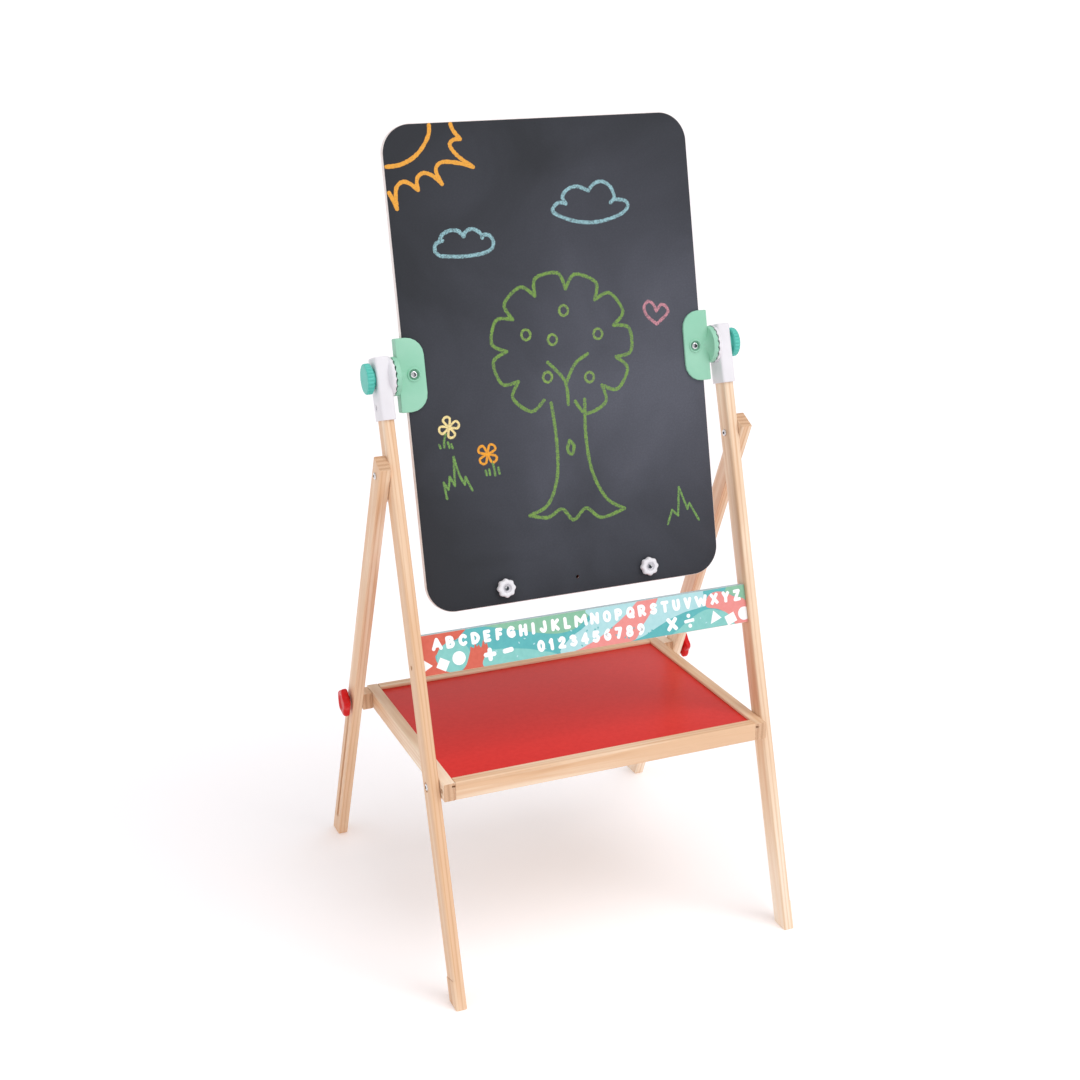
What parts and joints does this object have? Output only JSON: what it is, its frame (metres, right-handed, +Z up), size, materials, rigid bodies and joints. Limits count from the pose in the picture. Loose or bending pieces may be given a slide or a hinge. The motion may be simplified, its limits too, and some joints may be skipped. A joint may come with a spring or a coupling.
{
  "type": "folding children's easel",
  "caption": "Folding wooden children's easel: a turning two-sided chalk and dry-wipe board between clamps, alphabet strip, framed tray and slotted rear legs.",
  "frame": {"origin": "on the floor under the middle of the bounding box, midway between the four feet", "axes": "+X to the object's right-hand side in the picture's sense (viewer's right), the chalk face looks towards -Y, +Z up"},
  "size_m": [0.58, 0.5804, 1.1397],
  "materials": {
    "pine": "clear satin lacquer on light pine",
    "alphabet_print": null,
    "white_plastic": "fine moulded satin",
    "board_edge": "white sealed board edge",
    "chalkboard": "matt chalk coating",
    "whiteboard": "glossy dry-wipe coating",
    "mint_plastic": "moulded satin",
    "teal_plastic": "moulded satin",
    "red_plastic": "moulded gloss",
    "red_panel": "red satin coating on thin fibreboard",
    "bright_steel": "bright plated",
    "insert_metal": "plain"
  },
  "bodies": {
    "front_frame": {"front_post_left": "pine", "front_post_right": "pine", "post_bracket_left": "white_plastic", "post_bracket_right": "white_plastic", "bracket_screw_left": "bright_steel", "bracket_screw_right": "bright_steel", "alphabet_strip": "alphabet_print", "strip_screw_left": "bright_steel", "strip_screw_right": "bright_steel", "strip_dowel_left": "pine", "strip_dowel_right": "pine", "leg_pivot_bolt_left": "bright_steel", "leg_pivot_bolt_right": "bright_steel", "leg_pivot_nut_left": "bright_steel", "leg_pivot_nut_right": "bright_steel", "tray_pivot_bolt_left": "bright_steel", "tray_pivot_bolt_right": "bright_steel", "tray_pivot_nut_left": "bright_steel", "tray_pivot_nut_right": "bright_steel"},
    "board": {"board_core": "board_edge", "chalk_face": "chalkboard", "white_face": "whiteboard", "board_clamp_left": "mint_plastic", "board_clamp_right": "mint_plastic", "clamp_screw_left": "bright_steel", "clamp_screw_right": "bright_steel", "clamp_sleeve_left": "bright_steel", "clamp_sleeve_right": "bright_steel", "tilt_bolt_left": "bright_steel", "tilt_bolt_right": "bright_steel"},
    "paper_clamp": {"paper_clamp_bar": "white_plastic", "paper_clamp_stud_left": "bright_steel", "paper_clamp_stud_right": "bright_steel"},
    "tray": {"tray_rail_front": "pine", "tray_rail_rear": "pine", "tray_rail_left": "pine", "tray_rail_right": "pine", "tray_panel": "red_panel", "tray_spacer_left": "pine", "tray_spacer_right": "pine", "slot_insert_left": "insert_metal", "slot_insert_right": "insert_metal", "rail_screw_front_left": "bright_steel", "rail_screw_front_right": "bright_steel", "rail_screw_rear_left": "bright_steel", "rail_screw_rear_right": "bright_steel"},
    "tilt_knob_left": {"tilt_knob_left": "teal_plastic"},
    "paper_clamp_knob_left": {"paper_clamp_knob_left": "white_plastic"},
    "rear_leg_left": {"rear_leg_left": "pine"},
    "slot_bolt_left": {"slot_bolt_left": "bright_steel", "slot_washer_left": "bright_steel"},
    "slot_knob_left": {"slot_knob_left": "red_plastic"},
    "tilt_knob_right": {"tilt_knob_right": "teal_plastic"},
    "paper_clamp_knob_right": {"paper_clamp_knob_right": "white_plastic"},
    "rear_leg_right": {"rear_leg_right": "pine"},
    "slot_bolt_right": {"slot_bolt_right": "bright_steel", "slot_washer_right": "bright_steel"},
    "slot_knob_right": {"slot_knob_right": "red_plastic"}
  },
  "joints": [
    {"name": "board_tilt", "type": "hinge", "parent": "front_frame", "child": "board", "pos_m": [0, -0.04876, 0.82], "axis": [1, 0, 0], "continuous": true},
    {"name": "tray_fold", "type": "hinge", "parent": "front_frame", "child": "tray", "pos_m": [0, -0.19467, 0.2903], "axis": [-1, 0, 0], "range_deg": [0, 105.4]},
    {"name": "paper_clamp_slide", "type": "slide", "parent": "board", "child": "paper_clamp", "axis": [0, 0.9813, -0.1925], "range_m": [0, 0.004]},
    {"name": "rear_leg_fold_left", "type": "hinge", "parent": "front_frame", "child": "rear_leg_left", "pos_m": [-0.2677, -0.08264, 0.697], "axis": [-1, 0, 0], "range_deg": [0, 42.5]},
    {"name": "slot_bolt_travel_left", "type": "slide", "parent": "rear_leg_left", "child": "slot_bolt_left", "axis": [0, 0.4549, -0.8906], "range_m": [0, 0.2852]},
    {"name": "slot_knob_turn_left", "type": "hinge", "parent": "slot_bolt_left", "child": "slot_knob_left", "pos_m": [-0.284, 0.12508, 0.2903], "axis": [-1, 0, 0], "range_deg": [0, 540]},
    {"name": "tilt_knob_turn_left", "type": "hinge", "parent": "board", "child": "tilt_knob_left", "pos_m": [-0.268, -0.04876, 0.82], "axis": [-1, 0, 0], "range_deg": [0, 540]},
    {"name": "paper_clamp_knob_turn_left", "type": "hinge", "parent": "board", "child": "paper_clamp_knob_left", "pos_m": [-0.1082, -0.10691, 0.52365], "axis": [0, -0.9813, 0.1925], "range_deg": [0, 540]},
    {"name": "rear_leg_fold_right", "type": "hinge", "parent": "front_frame", "child": "rear_leg_right", "pos_m": [0.2677, -0.08264, 0.697], "axis": [-1, 0, 0], "range_deg": [0, 42.5]},
    {"name": "slot_bolt_travel_right", "type": "slide", "parent": "rear_leg_right", "child": "slot_bolt_right", "axis": [0, 0.4549, -0.8906], "range_m": [0, 0.2852]},
    {"name": "slot_knob_turn_right", "type": "hinge", "parent": "slot_bolt_right", "child": "slot_knob_right", "pos_m": [0.284, 0.12508, 0.2903], "axis": [1, 0, 0], "range_deg": [0, 540]},
    {"name": "tilt_knob_turn_right", "type": "hinge", "parent": "board", "child": "tilt_knob_right", "pos_m": [0.268, -0.04876, 0.82], "axis": [1, 0, 0], "range_deg": [0, 540]},
    {"name": "paper_clamp_knob_turn_right", "type": "hinge", "parent": "board", "child": "paper_clamp_knob_right", "pos_m": [0.1082, -0.10691, 0.52365], "axis": [0, -0.9813, 0.1925], "range_deg": [0, 540]}
  ],
  "couplings": [
    {"joint": "rear_leg_fold_left", "follows": "tray_fold", "ratio": 0.4028},
    {"joint": "slot_bolt_travel_left", "follows": "tray_fold", "m_per_rad": 0.15488},
    {"joint": "rear_leg_fold_right", "follows": "tray_fold", "ratio": 0.4028},
    {"joint": "slot_bolt_travel_right", "follows": "tray_fold", "m_per_rad": 0.15488}
  ]
}
